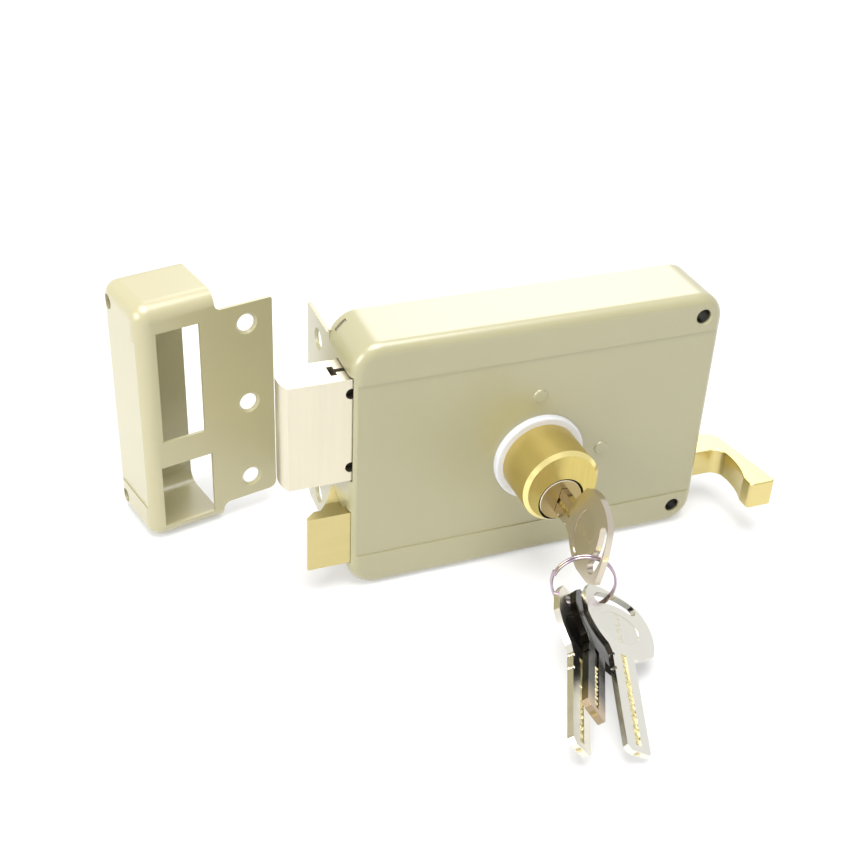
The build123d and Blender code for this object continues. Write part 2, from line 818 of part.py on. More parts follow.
spring_pitch = (spring_length - 2 * slide_gap - spring_wire) / spring_turns
latch_coil = coil((spring_outer - spring_wire) / 2, spring_pitch, spring_turns, spring_wire)
with BuildPart() as latch_spring:
    with Locations(Plane(origin=(latch_inner_x + spring_length / 2, spring_y, spring_z), z_dir=(1, 0, 0))):
        add(latch_coil)
write(latch_spring, "latch_spring")

# Cylinder body with its low plug bore, pin chambers and two flats for the retainer
bore_radius = plug_radius + running_gap
chamber_radius = pin_radius + pin_gap
flat_x = cyl_radius - groove_deep
pin_depths = [cyl_front_y + pin_first + step * pin_pitch for step in range(pin_count)]
with BuildPart() as cylinder_body:
    with BuildSketch(face_at(cyl_rear_y)):
        with Locations((cyl_x, cyl_z)):
            Circle(cyl_radius)
        with Locations((plug_x, plug_z)):
            Circle(bore_radius, mode=Mode.SUBTRACT)
    extrude(amount=cyl_rear_y - cyl_front_y)
    end_face = cylinder_body.faces().sort_by(Axis.Y)[0]
    chamfer(end_face.outer_wire().edges(), cyl_bevel)
    with BuildSketch(face_at(cyl_front_y + plug_head_deep)):
        with Locations((plug_x, plug_z)):
            Circle(plug_head + plug_head_gap)
    extrude(amount=plug_head_deep + overrun, mode=Mode.SUBTRACT)
    with BuildSketch(face_at(inner_front_y + retainer_thick + seat_gap)):
        for side in (-1, 1):
            with Locations((cyl_x + side * (flat_x + groove_deep), cyl_z)):
                Rectangle(2 * groove_deep, 2 * cyl_radius)
    extrude(amount=retainer_thick + 2 * seat_gap, mode=Mode.SUBTRACT)
    with BuildSketch(Plane.XY.offset(plug_z)):
        with Locations(*[(plug_x, y) for y in pin_depths]):
            Circle(chamber_radius)
    extrude(amount=2 * cyl_radius, mode=Mode.SUBTRACT)
write(cylinder_body, "cylinder_body")

# Caps that close the pin chambers flush with the cylinder's surface
cyl_top = cyl_z + cyl_radius
with BuildPart() as pin_caps:
    with BuildSketch(Plane.XY.offset(cyl_top - cap_length)):
        with Locations(*[(plug_x, y) for y in pin_depths]):
            Circle(chamber_radius - seat_gap)
    extrude(amount=cap_length)
    with BuildSketch(face_at(cyl_rear_y)):
        with Locations((cyl_x, cyl_z)):
            Circle(cyl_radius)
    extrude(amount=cyl_rear_y - cyl_front_y, mode=Mode.INTERSECT)
write(pin_caps, "pin_caps")

driver_low = plug_z + plug_radius + running_gap
with BuildPart() as driver_pins:
    with BuildSketch(Plane.XY.offset(driver_low)):
        with Locations(*[(plug_x, y) for y in pin_depths]):
            Circle(pin_radius)
    extrude(amount=driver_length)
write(driver_pins, "driver_pins")

with BuildPart() as pin_springs:
    with BuildSketch(Plane.XY.offset(driver_low + driver_length)):
        with Locations(*[(plug_x, y) for y in pin_depths]):
            Circle(pin_radius - pin_gap)
            Circle(pin_spring_bore, mode=Mode.SUBTRACT)
    extrude(amount=cyl_top - cap_length - driver_low - driver_length)
write(pin_springs, "pin_springs")

# Pale ring round the cylinder where it leaves the case
with BuildPart() as cylinder_collar:
    with BuildSketch(face_at(front_y + panel_recess)):
        with Locations((cyl_x, cyl_z)):
            Circle(collar_radius)
            Circle(cyl_radius + seat_gap, mode=Mode.SUBTRACT)
    extrude(amount=collar_proud + panel_recess)
    rim = cylinder_collar.faces().sort_by(Axis.Y)[0].outer_wire()
    fillet(rim.edges(), collar_round)
write(cylinder_collar, "cylinder_collar")

# Fork that grips the cylinder's flats behind the case's front, located on the guide posts
fork_half = flat_x + seat_gap
fork_arm = groove_deep + retainer_side - seat_gap
with BuildPart() as cylinder_retainer:
    with BuildSketch(face_at(inner_front_y + retainer_thick)):
        with Locations((cyl_x, cyl_z)):
            Circle(cyl_radius + retainer_side)
            Rectangle(2 * (cyl_radius + retainer_side), cyl_radius, align=(Align.CENTER, Align.MAX))
        with Locations(post_a, post_b):
            Circle(retainer_foot)
        with Locations((post_a[0], cyl_z + cyl_radius)):
            Rectangle(2 * retainer_foot, post_a[1] - cyl_z - cyl_radius, align=(Align.CENTER, Align.MIN))
        with Locations((cyl_x + cyl_radius, post_b[1])):
            Rectangle(post_b[0] - cyl_x - cyl_radius, 2 * retainer_foot, align=(Align.MIN, Align.CENTER))
        with Locations((cyl_x, cyl_z)):
            Circle(cyl_radius + seat_gap, mode=Mode.SUBTRACT)
            Rectangle(
                2 * fork_half,
                cyl_radius + retainer_side + overrun,
                align=(Align.CENTER, Align.MAX),
                mode=Mode.SUBTRACT,
            )
        with Locations((cyl_x - fork_half, cyl_z)):
            Rectangle(fork_arm, cyl_radius, align=(Align.MAX, Align.CENTER))
        with Locations((cyl_x + fork_half, cyl_z)):
            Rectangle(fork_arm, cyl_radius, align=(Align.MIN, Align.CENTER))
        with Locations(post_a, post_b):
            Circle(post_radius + seat_gap, mode=Mode.SUBTRACT)
    extrude(amount=retainer_thick)
write(cylinder_retainer, "cylinder_retainer")

# Plug, turned from home with the key in it
lat_dir = (sin(radians(key_turned)), 0, cos(radians(key_turned)))
clip_front_y = cyl_rear_y + running_gap
with BuildPart() as cylinder_plug:
    with BuildSketch(face_at(plug_rear_y)):
        with Locations((plug_x, plug_z)):
            Circle(plug_radius)
    extrude(amount=plug_rear_y - cyl_front_y)
    with BuildSketch(face_at(cyl_front_y + plug_head_deep - running_gap)):
        with Locations((plug_x, plug_z)):
            Circle(plug_head)
    extrude(amount=plug_head_deep - running_gap)
    plug_face = cylinder_plug.faces().sort_by(Axis.Y)[0]
    chamfer(plug_face.outer_wire().edges(), plug_edge_break)
    with BuildSketch(face_at(clip_front_y + clip_thick)):
        with Locations((plug_x, plug_z)):
            Circle(plug_radius + overrun)
            Circle(plug_radius - clip_deep, mode=Mode.SUBTRACT)
    extrude(amount=clip_thick, mode=Mode.SUBTRACT)
    with BuildSketch(face_at(plug_rear_y + tang_deep)):
        with Locations((plug_x, plug_z)):
            Rectangle(tang_wide, tang_high)
    extrude(amount=tang_deep)
    with BuildSketch(face_at(cyl_front_y + blade_in + running_gap)):
        with Locations((plug_x, plug_z)):
            Rectangle(key_thick + 2 * pin_gap, 2 * (blade_half + pin_gap), rotation=-key_turned)
    extrude(amount=blade_in + running_gap + overrun, mode=Mode.SUBTRACT)
    for y in pin_depths:
        pin_plane = Plane(origin=(plug_x, y, plug_z), x_dir=(0, 1, 0), z_dir=lat_dir)
        with BuildSketch(pin_plane.offset(blade_half - key_cut_deepest)):
            Circle(chamber_radius)
        extrude(amount=plug_radius + overrun, mode=Mode.SUBTRACT)
write(cylinder_plug, "cylinder_plug")

with BuildPart() as plug_clip:
    with BuildSketch(face_at(clip_front_y + clip_thick - seat_gap)):
        with Locations((plug_x, plug_z)):
            Circle(plug_radius + clip_rise)
            Circle(plug_radius - clip_deep + seat_gap, mode=Mode.SUBTRACT)
            Rectangle(clip_mouth, plug_radius + 2 * clip_rise, align=(Align.CENTER, Align.MAX), mode=Mode.SUBTRACT)
    extrude(amount=clip_thick - 2 * seat_gap)
write(plug_clip, "plug_clip")

# Pinion on the plug's tang, with a journal in the back plate and a slot for an outside cylinder's tail
tooth_height = tooth_addendum + tooth_dedendum + tooth_sink
tooth_base = 2 * (tooth_root_half + flank * tooth_sink)
tooth_mid_radius = pitch_radius + tooth_addendum - tooth_height / 2
with BuildPart() as drive_pinion:
    with BuildSketch(face_at(plate_rear_y)):
        with Locations((plug_x, plug_z)):
            Circle(pitch_radius - tooth_dedendum)
            with PolarLocations(tooth_mid_radius, pinion_teeth, start_angle=90):
                Trapezoid(tooth_base, tooth_height, degrees(atan2(1, flank)), rotation=-90)
    extrude(amount=plate_thick)
    with BuildSketch(face_at(back_y + back_thick + tail_rise)):
        with Locations((plug_x, plug_z)):
            Circle(journal_radius)
    extrude(amount=back_y + back_thick + tail_rise - plate_rear_y)
    with BuildSketch(face_at(plug_rear_y + tang_deep + seat_gap)):
        with Locations((plug_x, plug_z)):
            Rectangle(tang_wide + 2 * running_gap, tang_high + 2 * running_gap)
    extrude(amount=tang_deep + plate_thick, mode=Mode.SUBTRACT)
    with BuildSketch(face_at(back_y + back_thick + tail_rise)):
        with Locations((plug_x, plug_z)):
            Rectangle(tail_slot_wide, 2 * journal_radius)
    extrude(amount=tail_slot_deep, mode=Mode.SUBTRACT)
write(drive_pinion, "drive_pinion")


def bow_point(shares):
    """A point of the bow from its shares of length and half width"""
    return (neck_out + shares[0] * bow_length, shares[1] * bow_half)


# Key blank: X runs out along the key, Y across it, Z through its thickness
with BuildPart() as key_form:
    with BuildSketch(Plane.XY.offset(-key_thick / 2)):
        with BuildLine():
            Polyline(
                bow_point(waist_shares),
                (neck_out, -blade_half),
                (-blade_in + blade_point, -blade_half),
                (-blade_in, -blade_half + blade_point),
                (-blade_in, blade_half - blade_point / 2),
                (-blade_in + blade_point / 2, blade_half),
                (neck_out, blade_half),
                (neck_out, blade_half + key_shoulder),
                bow_point(shoulder_shares),
            )
            ThreePointArc(bow_point(shoulder_shares), bow_point(crown_shares), bow_point(crown_end_shares))
            ThreePointArc(bow_point(crown_end_shares), bow_point(end_mid_shares), bow_point(end_shares))
            Polyline(bow_point(end_shares), bow_point(corner_shares), bow_point(side_shares))
            ThreePointArc(bow_point(side_shares), bow_point(heel_shares), bow_point(waist_shares))
        make_face()
        with BuildLine(mode=Mode.PRIVATE) as crescent:
            ThreePointArc(
                (key_slot_out, -key_slot_long / 2),
                (key_slot_out + key_slot_bow, 0),
                (key_slot_out, key_slot_long / 2),
            )
        SlotArc(crescent.edge(), key_slot_wide, mode=Mode.SUBTRACT)
    extrude(amount=key_thick)
    for side in (-1, 1):
        with BuildSketch(Plane.XY.offset(side * (key_thick / 2 - key_groove_deep))):
            with Locations((-blade_in + key_groove_inset, 0)):
                Rectangle(
                    blade_in + neck_out - key_groove_inset, key_groove_wide, align=(Align.MIN, Align.CENTER)
                )
        extrude(amount=side * (key_groove_deep + overrun), mode=Mode.SUBTRACT)
        with BuildSketch(Plane.XY.offset(side * (key_thick / 2 - key_oval_deep))):
            with Locations((key_oval_out, 0)):
                Ellipse(key_oval_wide / 2, key_oval_long / 2)
        extrude(amount=side * (key_oval_deep + overrun), mode=Mode.SUBTRACT)
    with BuildSketch(Plane.XY.offset(-key_thick)):
        with Locations(*[(out, -blade_half) for out in (key_stop_out, neck_out - key_stop_wide)]):
            Rectangle(key_stop_wide, 2 * key_stop_deep)
    extrude(amount=2 * key_thick, mode=Mode.SUBTRACT)
    for step, share in enumerate(key_cut_shares):
        cut_depth = key_cut_deepest * share
        cut_out = -pin_first - step * pin_pitch
        with BuildSketch(Plane.XZ.offset(-(blade_half - cut_depth))):
            with Locations((cut_out, 0)):
                Circle(key_cut_radius)
        extrude(amount=-(cut_depth + overrun), mode=Mode.SUBTRACT)


def key_at(plane):
    """A key laid in a plane whose X axis runs from its tip to its bow"""
    with BuildPart() as key:
        with Locations(plane):
            add(key_form.part)
    return key


def loose_plane(place, angles):
    """Plane of a key on the ring, from its heading, its rise towards the bow and its roll"""
    heading, rise, roll = (radians(angle) for angle in angles)
    out = Vector(cos(rise) * cos(heading), cos(rise) * sin(heading), sin(rise))
    side = Vector(sin(heading), -cos(heading), 0)
    lift = side.cross(out)
    across = side * cos(roll) + lift * sin(roll)
    return Plane(origin=ring_centre + Vector(*place), x_dir=out, z_dir=out.cross(across))


key_normal = Vector(0, -1, 0).cross(Vector(*lat_dir))
lock_key = key_at(Plane(origin=(plug_x, cyl_front_y, plug_z), x_dir=(0, -1, 0), z_dir=key_normal))
write(lock_key, "lock_key")

# Pins that stand on the key and end at the plug's surface
pin_seat = blade_half + running_gap
with BuildPart() as key_pins:
    for y, share in zip(pin_depths, key_cut_shares):
        pin_plane = Plane(origin=(plug_x, y, plug_z), x_dir=(0, 1, 0), z_dir=lat_dir)
        with BuildSketch(pin_plane.offset(pin_seat - key_cut_deepest * share)):
            Circle(pin_tip)
        extrude(amount=pin_tip_long)
        with BuildSketch(pin_plane.offset(pin_seat)):
            Circle(pin_radius)
        extrude(amount=sqrt(plug_radius**2 - pin_radius**2) - pin_seat)
write(key_pins, "key_pins")

# Split ring, wound twice
ring_coil = coil(ring_radius, ring_pitch, ring_turns, ring_wire)
ring_normal = Vector(
    sin(radians(ring_turned)) * cos(radians(ring_lean)),
    -cos(radians(ring_turned)) * cos(radians(ring_lean)),
    sin(radians(ring_lean)),
)
ring_across = ring_normal.cross(Vector(0, 0, 1))
ring_centre = Vector(plug_x + ring_aside, cyl_front_y - ring_ahead, plug_z - ring_below)
with BuildPart() as split_ring:
    with Locations(Plane(origin=ring_centre, x_dir=ring_across, z_dir=ring_normal)):
        add(ring_coil, rotation=(0, 0, ring_start))
write(split_ring, "split_ring")

write(key_at(loose_plane(spare_right_place, spare_right_angles)), "spare_key_right")
write(key_at(loose_plane(spare_middle_place, spare_middle_angles)), "spare_key_middle")
write(key_at(loose_plane(spare_left_place, spare_left_angles)), "spare_key_left")

# Box keeper: modelled with its mouth plate on Y = 0 and its cover on X = 0, then stood beside the lock
keeper_sizes = (keeper_width, keeper_height, keeper_depth, keeper_round, keeper_edge, panel_recess, keeper_margin)
upright = Location((0, keeper_width / 2, 0), (0, 0, -90))
keeper_flange_low = keeper_flange_mid - keeper_flange_high / 2
keeper_flange_top = keeper_flange_mid + keeper_flange_high / 2
keeper_screws = [(keeper_screw_from, z) for z in (keeper_screw_inset, keeper_height - keeper_screw_inset)]
with BuildPart() as keeper_form:
    add(drawn_shell(*keeper_sizes).moved(upright))
    add(drawn_hollow(*keeper_sizes).moved(upright), mode=Mode.SUBTRACT)
    with BuildSketch(Plane.XZ) as keeper_flange_face:
        with Locations((keeper_depth - sheet, keeper_flange_mid)):
            Rectangle(keeper_flange + sheet, keeper_flange_high, align=(Align.MIN, Align.CENTER))
        with Locations((keeper_depth - sheet, keeper_flange_low - keeper_flange_root_low)):
            Rectangle(
                sheet,
                keeper_flange_high + keeper_flange_root_low + keeper_flange_root_top,
                align=(Align.MIN, Align.MIN),
            )
        for root, bend in ((keeper_flange_low, keeper_flange_root_low), (keeper_flange_top, keeper_flange_root_top)):
            fillet(keeper_flange_face.vertices().sort_by_distance((keeper_depth, root))[0], bend - seat_gap)
        fillet(keeper_flange_face.vertices().group_by(Axis.X)[-1].sort_by(Axis.Y)[-1], flange_corner_top)
        fillet(keeper_flange_face.vertices().group_by(Axis.X)[-1].sort_by(Axis.Y)[0], flange_corner_low)
    extrude(amount=-sheet)
    with BuildSketch(Plane.XZ):
        for start, wide, low, high in keeper_mouths:
            with Locations((start, low)):
                Rectangle(wide, high - low, align=(Align.MIN, Align.MIN))
    extrude(amount=-(keeper_round + overrun), mode=Mode.SUBTRACT)
    with BuildSketch(Plane.YZ.offset(-overrun)):
        with Locations(*keeper_screws):
            Circle(corner_hole / 2)
    extrude(amount=keeper_round + 2 * overrun, mode=Mode.SUBTRACT)
    keeper_holes = [keeper_flange_mid + step * keeper_hole_pitch for step in (-1, 0, 1)]
    with Locations(*[Plane((keeper_depth + keeper_hole_inset, 0, z), z_dir=(0, -1, 0)) for z in keeper_holes]):
        CounterSinkHole(flange_hole / 2, flange_hole_sink / 2, sheet + overrun, flange_hole_angle)
keeper_turn = radians(keeper_turned)
keeper_place = Plane(
    origin=(keeper_corner[0], keeper_corner[1], 0), x_dir=(cos(keeper_turn), sin(keeper_turn), 0), z_dir=(0, 0, 1)
)
with BuildPart() as keeper_box:
    with Locations(keeper_place):
        add(keeper_form.part)
write(keeper_box, "keeper_box")
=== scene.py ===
from math import cos, radians, sin

import bmesh
import bpy
from mathutils import Matrix, Vector


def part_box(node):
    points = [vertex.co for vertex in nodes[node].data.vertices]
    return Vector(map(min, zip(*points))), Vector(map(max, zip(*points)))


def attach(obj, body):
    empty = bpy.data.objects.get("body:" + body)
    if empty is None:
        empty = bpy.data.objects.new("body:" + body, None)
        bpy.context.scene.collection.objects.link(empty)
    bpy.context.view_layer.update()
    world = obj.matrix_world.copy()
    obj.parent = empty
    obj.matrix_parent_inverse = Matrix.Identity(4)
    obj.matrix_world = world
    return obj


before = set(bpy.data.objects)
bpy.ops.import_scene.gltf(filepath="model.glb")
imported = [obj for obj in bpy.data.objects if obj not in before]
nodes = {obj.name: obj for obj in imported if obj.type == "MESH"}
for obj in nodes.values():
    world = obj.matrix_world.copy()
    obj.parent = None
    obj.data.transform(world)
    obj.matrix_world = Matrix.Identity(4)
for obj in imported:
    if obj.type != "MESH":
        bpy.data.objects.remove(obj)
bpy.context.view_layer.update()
scene = bpy.context.scene
scene.view_settings.view_transform = "Standard"
mm = 0.001
white = (1, 1, 1)


# Shader maths: a wrapped socket takes part in plain expressions
class Sock:
    """A shader socket that can be added, multiplied and so on"""

    def __init__(self, shop, socket):
        self.shop, self.socket = shop, socket

    def _two(self, operation, a, b, clamp=False):
        return self.shop.node("ShaderNodeMath", {"operation": operation, "use_clamp": clamp}, {0: a, 1: b})

    def __add__(self, other):
        return self._two("ADD", self, other)

    __radd__ = __add__

    def __mul__(self, other):
        return self._two("MULTIPLY", self, other)

    __rmul__ = __mul__

    def __sub__(self, other):
        return self._two("SUBTRACT", self, other)

    def __rsub__(self, other):
        return self._two("SUBTRACT", other, self)

    def __truediv__(self, other):
        return self._two("DIVIDE", self, other)

    def __pow__(self, other):
        return self._two("POWER", self, other)

    def __abs__(self):
        return self._two("ABSOLUTE", self, 0)

    def clamped(self):
        return self._two("ADD", self, 0, clamp=True)

    def larger(self, other):
        return self._two("MAXIMUM", self, other)

    def over(self, edge, width):
        """0 below the edge, 1 above it, with a soft step of the given width"""
        return ((self - (edge - width / 2)) / width).clamped()

    def under(self, edge, width):
        return 1 - self.over(edge, width)

    def beside(self, output):
        """Another output of the same node"""
        return Sock(self.shop, self.socket.node.outputs[output])


class Shop:
    """A node tree and the nodes that are added to it"""

    def __init__(self, tree):
        self.tree = tree

    def put(self, socket, value):
        if isinstance(value, Sock):
            self.tree.links.new(value.socket, socket)
        elif hasattr(value, "__len__") and len(value) == 3 and socket.type == "RGBA":
            socket.default_value = (*value, 1)
        else:
            socket.default_value = value

    def node(self, kind, settings=None, values=None, output=0):
        made = self.tree.nodes.new(kind)
        for key, value in (settings or {}).items():
            setattr(made, key, value)
        for key, value in (values or {}).items():
            self.put(made.inputs[key], value)
        return Sock(self, made.outputs[output])


class Paint(Shop):
    """One material and the nodes that make it"""

    def __init__(self, name):
        self.material = bpy.data.materials.new(name)
        self.material.use_nodes = True
        super().__init__(self.material.node_tree)
        self.tree.nodes.clear()
        self.shader = self.tree.nodes.new("ShaderNodeBsdfPrincipled")
        self.out = self.tree.nodes.new("ShaderNodeOutputMaterial")
        self.tree.links.new(self.shader.outputs[0], self.out.inputs[0])

    def place(self):
        return self.node("ShaderNodeTexCoord", output="Object")

    def parts_of(self, vector):
        first = self.node("ShaderNodeSeparateXYZ", values={0: vector})
        return [first.beside(letter) for letter in "XYZ"]

    def vector(self, x, y, z):
        return self.node("ShaderNodeCombineXYZ", values={0: x, 1: y, 2: z})

    def _vectors(self, operation, vector, other, output="Vector"):
        values = {0: vector, 1: tuple(other)}
        return self.node("ShaderNodeVectorMath", {"operation": operation}, values, output)

    def along(self, vector, direction):
        """How far a place lies along a direction"""
        return self._vectors("DOT_PRODUCT", vector, direction, "Value")

    def moved(self, vector, by):
        return self._vectors("SUBTRACT", vector, by)

    def stretched(self, vector, scale):
        return self._vectors("MULTIPLY", vector, scale)

    def noise(self, vector, scale, detail=2.0, rough=0.5):
        values = {"Vector": vector, "Scale": scale, "Detail": detail, "Roughness": rough}
        return self.node("ShaderNodeTexNoise", values=values)

    def mix(self, share, low, high):
        """Colour between two, by a share"""
        return self.node("ShaderNodeMix", {"data_type": "RGBA"}, {0: share, 6: low, 7: high}, 2)

    def mix_number(self, share, low, high):
        """Number between two, by a share"""
        return self.node("ShaderNodeMix", {"data_type": "FLOAT"}, {0: share, 2: low, 3: high})

    def tinted(self, colour, tint):
        """A colour seen through a tint"""
        settings = {"data_type": "RGBA", "blend_type": "MULTIPLY"}
        return self.node("ShaderNodeMix", settings, {0: 1.0, 6: colour, 7: tint}, 2)

    def bump(self, height, distance, strength=0.4):
        values = {"Height": height, "Distance": distance, "Strength": strength}
        return self.node("ShaderNodeBump", values=values)

    def surface(self, **values):
        names = {
            "colour": "Base Color", "rough": "Roughness", "metal": "Metallic", "normal": "Normal",
            "coat": "Coat Weight", "coat_rough": "Coat Roughness", "coat_ior": "Coat IOR", "ior": "IOR",
            "through": "Subsurface Weight", "depth": "Subsurface Scale",
        }
        for key, value in values.items():
            self.put(self.shader.inputs[names[key]], value)
        return self.material


def tone(r, g, b):
    """A colour as the eye reads it on a screen, from 0 to 255, made linear"""
    return tuple((v / 255 / 12.92) if v <= 10 else ((v / 255 + 0.055) / 1.055) ** 2.4 for v in (r, g, b))


def dimmed(shade, share):
    """A colour as the eye reads it, dimmed on the same scale and made linear"""
    return tone(*[v * share for v in shade])


def around(shade, above, below):
    """The brighter and the darker neighbour of a colour, both linear"""
    return [tuple(min(v * share, 1) for v in tone(*shade)) for share in (above, below)]


def dress(material, *names):
    """Gives nodes their material"""
    for name in names:
        piece = nodes[name]
        piece.data.materials.clear()
        piece.data.materials.append(material)


def front_of(name):
    """Middle of a round piece's front and its radius, from its solid"""
    low, high = [Vector(corner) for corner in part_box(name)]
    return Vector(((low.x + high.x) / 2, low.y, (low.z + high.z) / 2)), (high.z - low.z) / 2


cylinder_front, cylinder_radius = front_of("cylinder_body")
plug_front, plug_radius = front_of("cylinder_plug")
cylinder_bevel = 1.4 * mm
plug_bevel = 0.35 * mm

# The ring of painted shade round the plug, beside the gap between plug and cylinder, and how far it goes in
# from the front
seam_start = plug_radius + 0.05 * mm
seam_end = plug_radius + 0.52 * mm
seam_depth = 2 * mm

# The posts' riveted ends are painted as far as this behind the front of the case
painted_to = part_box("case_shell")[0][1] + 1.45 * mm

# A key: its thickness, the level of the ridges in the milled groove of each face, and half the groove's width
key_thick = 2.4 * mm
groove_level = key_thick / 2 - 0.3 * mm
groove_half = 1.12 * mm

# Where each key's shoulder lies, and its heading, rise and roll in degrees
keys = {
    "lock": (plug_front, (-90, 0, 103)),
    "right": (Vector((-3.09, -96.74, 11.05)) * mm, (72.32, 12.53, -31.7)),
    "middle": (Vector((-14.15, -94.33, 18.34)) * mm, (61.99, -11.47, -50.51)),
    "left": (Vector((-18.04, -92.75, 11.03)) * mm, (64.95, 5.62, -50.37)),
}
spare_keys = ("right", "middle", "left")


def key_frame(place, angles):
    """Shoulder of a key and its directions: out to the bow, across the blade and through it"""
    heading, rise, roll = [radians(angle) for angle in angles]
    out = Vector((cos(rise) * cos(heading), cos(rise) * sin(heading), sin(rise)))
    side = Vector((sin(heading), -cos(heading), 0))
    across = side * cos(roll) + side.cross(out) * sin(roll)
    return place, out, across, out.cross(across)


key_frames = {name: key_frame(*values) for name, values in keys.items()}


# Where one finish goes over into another, it does so within one of these widths
crisp = 0.04 * mm
soft = 0.1 * mm

# Satin beige enamel, baked on pressed sheet: the glaze on top is the same all over
glaze = {"coat_rough": 0.3, "coat_ior": 1.6}
ripple_depth = 0.03 * mm
ripple_strength = 0.5


def enamel_look(paint, shade):
    """Colour, roughness and height of the enamel"""
    place = paint.place()
    cloud = paint.noise(place, scale=22, detail=3)
    grain = paint.noise(place, scale=1500)
    ripple = paint.noise(place, scale=160)
    light, dark = around(shade, 1.03, 0.97)
    return paint.mix(cloud, dark, light), 0.3 + 0.1 * grain, ripple * 0.75 + grain * 0.25


def enamel(name, shade):
    paint = Paint(name)
    colour, rough, height = enamel_look(paint, shade)
    normal = paint.bump(height, ripple_depth, ripple_strength)
    return paint.surface(colour=colour, rough=rough, coat=1.0, normal=normal, **glaze)


# Brushed metal: strokes run along one direction, across it they change quickly
strokes_across = 1900
strokes_along = 45
stroke_depth = 0.012 * mm


def stroke_noise(paint, place, scale):
    broader = [v * 0.3 for v in scale]
    fine = paint.noise(paint.stretched(place, scale), scale=1.0, detail=3, rough=0.6)
    broad = paint.noise(paint.stretched(place, broader), scale=1.0)
    return fine * 0.55 + broad * 0.45


def brushed(name, shade, along, rough=0.3, fine=1.0, stain=0.05):
    paint = Paint(name)
    place = paint.place()
    scale = [strokes_across * fine] * 3
    scale["xyz".index(along)] = strokes_along * fine
    strokes = stroke_noise(paint, place, scale)
    cloud = paint.noise(place, scale=60, detail=3)
    light, dark = around(shade, 1 + stain, 1 - stain)
    return paint.surface(
        colour=paint.mix(cloud * 0.4 + strokes * 0.6, dark, light),
        metal=1.0,
        rough=rough - 0.06 + 0.12 * strokes,
        normal=paint.bump(strokes, stroke_depth),
    )


def dark_steel(name, shade):
    """Blackened steel, a little worn"""
    paint = Paint(name)
    wear = paint.noise(paint.place(), scale=240, detail=4, rough=0.6)
    light, dark = around(shade, 1.3, 0.8)
    normal = paint.bump(wear, 0.02 * mm)
    colour = paint.mix(wear, dark, light)
    return paint.surface(colour=colour, metal=0.8, rough=0.4 + 0.2 * wear, normal=normal)


def turned(name, shade):
    """Lathe-turned brass: fine rings run round the Y axis"""
    paint = Paint(name)
    place = paint.place()
    down_axis = paint.parts_of(place)[1]
    rings = paint.noise(paint.vector(0.0, down_axis * 2400, 0.0), scale=1.0)
    cloud = paint.noise(place, scale=90, detail=3)
    light, dark = around(shade, 1.05, 0.95)
    return paint.surface(
        colour=paint.mix(cloud * 0.5 + rings * 0.5, dark, light),
        metal=1.0,
        rough=0.25 + 0.1 * rings,
        normal=paint.bump(rings, 0.006 * mm),
    )


# The round brass: a satin wall, upright strokes on the end face and a polished edge between them
# Colour of the painted shade in the seam round the plug
seam_shade = (44, 36, 22)
face_strokes = (2200, 60, 70)
face_depth = 0.03 * mm
edge_soft = 0.08 * mm


def round_look(name, front, radius, bevel, wall, face, edge, rough):
    paint = Paint(name)
    place = paint.moved(paint.place(), front)
    x, y, z = paint.parts_of(place)
    reach = (x * x + z * z) ** 0.5
    on_face = y.under(face_depth, crisp)
    on_edge = reach.over(radius - bevel, edge_soft) * y.under(bevel, edge_soft)
    rings = paint.noise(paint.vector(0.0, y * 2000, 0.0), scale=1.0)
    strokes = stroke_noise(paint, place, face_strokes)
    worn = (paint.noise(place, scale=80, detail=3) - 0.5) * 0.3
    walls = paint.mix((rings * 0.6 + 0.2 + worn).clamped(), dimmed(wall, 0.95), tone(*wall))
    faces = paint.mix((strokes + worn).clamped(), dimmed(face, 0.88), tone(*face))
    colour = paint.mix(on_edge, paint.mix(on_face, walls, faces), tone(*edge))
    from_plug_z = z + (front.z - plug_front.z)
    from_plug = (x * x + from_plug_z * from_plug_z) ** 0.5
    in_seam = from_plug.over(seam_start, crisp) * from_plug.under(seam_end, soft)
    # Painted shade: the brass just outside the plug is darkened in a ring, for the first 2 mm in from the
    # front
    shaded_seam = in_seam * y.under(seam_depth, soft)
    height = paint.mix_number(on_face, rings * 0.4, strokes)
    return paint.surface(
        colour=paint.mix(shaded_seam, colour, tone(*seam_shade)),
        metal=1.0,
        rough=(rough - 0.03 + 0.08 * rings) * (1 - 0.45 * on_edge) * (1 - 0.2 * on_face),
        normal=paint.bump(height * (1 - on_edge), stroke_depth),
    )


# Nickel-plated keys: strokes along the key, brass showing in the milled groove, polished edges
key_strokes = (70, 1900, 1900)
groove_marks = (900, 700, 200)
groove_shades = ((196, 184, 142), (244, 234, 186))
# Painted shade on the middle key: a near-black tint from the bow to about 19 mm down the blade from the
# shoulder, fading over 10 mm into a brownish tint at the tip
shaded_bow_tint = (34, 32, 31)
shaded_tip_tint = (196, 182, 164)
shade_ends = -19 * mm
shade_fades = 10 * mm


